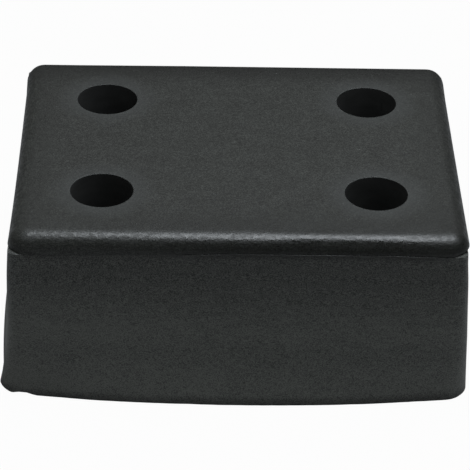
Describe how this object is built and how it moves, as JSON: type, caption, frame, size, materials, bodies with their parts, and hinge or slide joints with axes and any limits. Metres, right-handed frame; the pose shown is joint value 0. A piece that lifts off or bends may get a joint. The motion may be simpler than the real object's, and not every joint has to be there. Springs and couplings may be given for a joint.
{
  "type": "rubber buffer",
  "caption": "Solid moulded rubber buffer block with a rounded contact rim, tapered sides swelling to the base, and deep stepped bolt holes through it for mounting.",
  "frame": {"origin": "middle of the flat mounting face, under the middle of the bolt pattern", "axes": "+Z from the mounting face to the contact face, +X along the long side, +Y along the short side"},
  "size_m": [0.2122, 0.178, 0.08],
  "materials": {
    "rubber": "matte black moulded rubber with a faint sheen and a fine grain"
  },
  "bodies": {
    "root": {"buffer_block": "rubber"}
  },
  "joints": []
}
